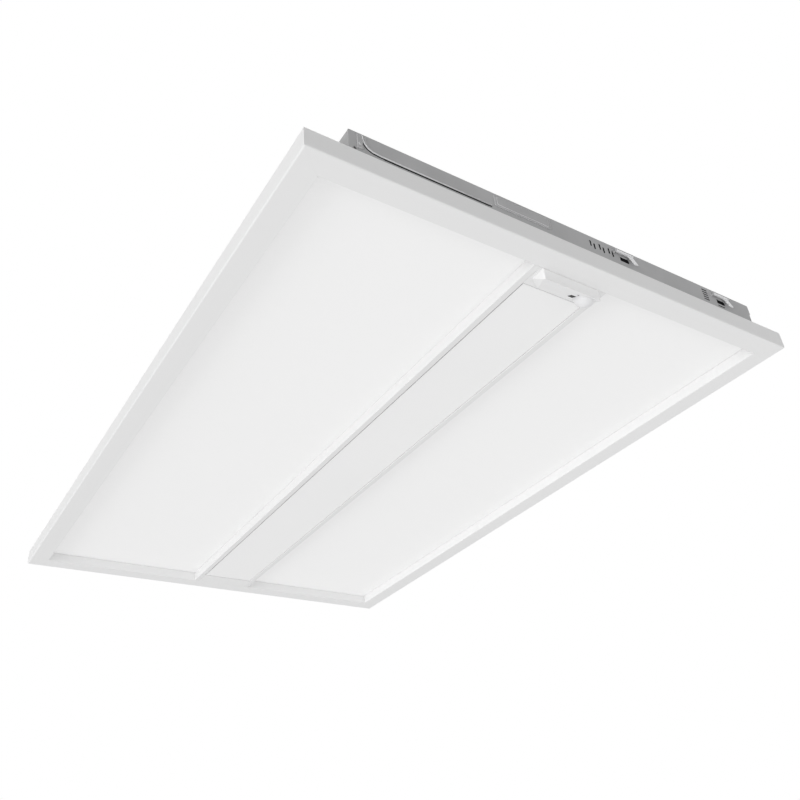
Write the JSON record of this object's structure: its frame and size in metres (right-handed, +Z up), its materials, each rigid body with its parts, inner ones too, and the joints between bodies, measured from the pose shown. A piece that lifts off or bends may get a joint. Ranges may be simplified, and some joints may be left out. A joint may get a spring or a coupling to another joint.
{
  "type": "recessed troffer light",
  "caption": "Lay-in ceiling troffer: white frame, frosted lens panels, central spine with hinged cover, wedge sensor pod, grey housing and folding grid clips.",
  "frame": {"origin": "centre of the frame's face, in the plane that rests on the ceiling grid's tees", "axes": "+X across the fixture, +Y along its length away from the sensor, +Z up into the ceiling"},
  "size_m": [0.603, 0.915, 0.0642],
  "materials": {
    "frame_white": "satin white powder coat",
    "cover_white": "bright white powder coat",
    "liner_black": "dark insulating sheet",
    "housing_grey": "plain grey zinc coated sheet",
    "bright_steel": "plated",
    "clip_steel": "bright zinc coated spring steel",
    "frosted_lens": "frosted acrylic",
    "white_plastic": "fine satin moulding",
    "dome_plastic": "milky moulded lens",
    "window_black": "dark tinted window",
    "indicator_grey": "small tinted pip",
    "driver_white": "painted steel case",
    "terminal_plastic": "moulded",
    "board_white": "white solder mask",
    "board_green": "green solder mask",
    "led_phosphor": "yellow phosphor"
  },
  "bodies": {
    "fixture": {"frame_side_left": "frame_white", "frame_side_right": "frame_white", "frame_end_near": "frame_white", "frame_end_far": "frame_white", "corner_keys": "bright_steel", "spine_rail_left": "frame_white", "spine_rail_right": "frame_white", "spine_end_near": "frame_white", "spine_end_far": "frame_white", "cover_pins": "bright_steel", "cover_catches": "white_plastic", "lens_left": "frosted_lens", "lens_right": "frosted_lens", "lens_clips": "bright_steel", "housing_pan": "housing_grey", "roof_knockouts": "housing_grey", "end_plate_near": "housing_grey", "end_plate_far": "housing_grey", "wall_liner_near": "liner_black", "wall_liner_far": "liner_black", "access_plate_near": "housing_grey", "access_plate_far": "housing_grey", "corner_tabs": "housing_grey", "clip_pins": "bright_steel", "clip_ears": "housing_grey", "pan_screws": "bright_steel", "gear_tray": "housing_grey", "tray_ends": "housing_grey", "driver_box": "driver_white", "driver_screws": "bright_steel", "terminal_block": "terminal_plastic", "led_board_1": "board_white", "led_board_2": "board_white", "led_board_3": "board_white", "led_board_4": "board_white", "led_chips": "led_phosphor", "sensor_pod": "white_plastic", "sensor_dome": "dome_plastic", "sensor_window": "window_black", "indicator_dot": "indicator_grey", "sensor_board": "board_green", "sensor_detector": "bright_steel"},
    "cover": {"centre_cover": "cover_white"},
    "grid_clip_near_inner_body": {"grid_clip_near_inner": "clip_steel"},
    "grid_clip_near_outer_body": {"grid_clip_near_outer": "clip_steel"},
    "grid_clip_far_inner_body": {"grid_clip_far_inner": "clip_steel"},
    "grid_clip_far_outer_body": {"grid_clip_far_outer": "clip_steel"}
  },
  "joints": [
    {"name": "centre_cover_swing", "type": "hinge", "parent": "fixture", "child": "cover", "pos_m": [-0.0364, 0, 0.0028], "axis": [0, 1, 0], "range_deg": [0, 90]},
    {"name": "grid_clip_near_inner_fold", "type": "hinge", "parent": "fixture", "child": "grid_clip_near_inner_body", "pos_m": [0.0595, -0.4544, 0.0384], "axis": [-1, 0, 0], "range_deg": [-10, 60]},
    {"name": "grid_clip_near_outer_fold", "type": "hinge", "parent": "fixture", "child": "grid_clip_near_outer_body", "pos_m": [0.207, -0.4544, 0.0384], "axis": [-1, 0, 0], "range_deg": [-10, 60]},
    {"name": "grid_clip_far_inner_fold", "type": "hinge", "parent": "fixture", "child": "grid_clip_far_inner_body", "pos_m": [-0.0595, 0.4544, 0.0384], "axis": [1, 0, 0], "range_deg": [-10, 60]},
    {"name": "grid_clip_far_outer_fold", "type": "hinge", "parent": "fixture", "child": "grid_clip_far_outer_body", "pos_m": [-0.207, 0.4544, 0.0384], "axis": [1, 0, 0], "range_deg": [-10, 60]}
  ]
}
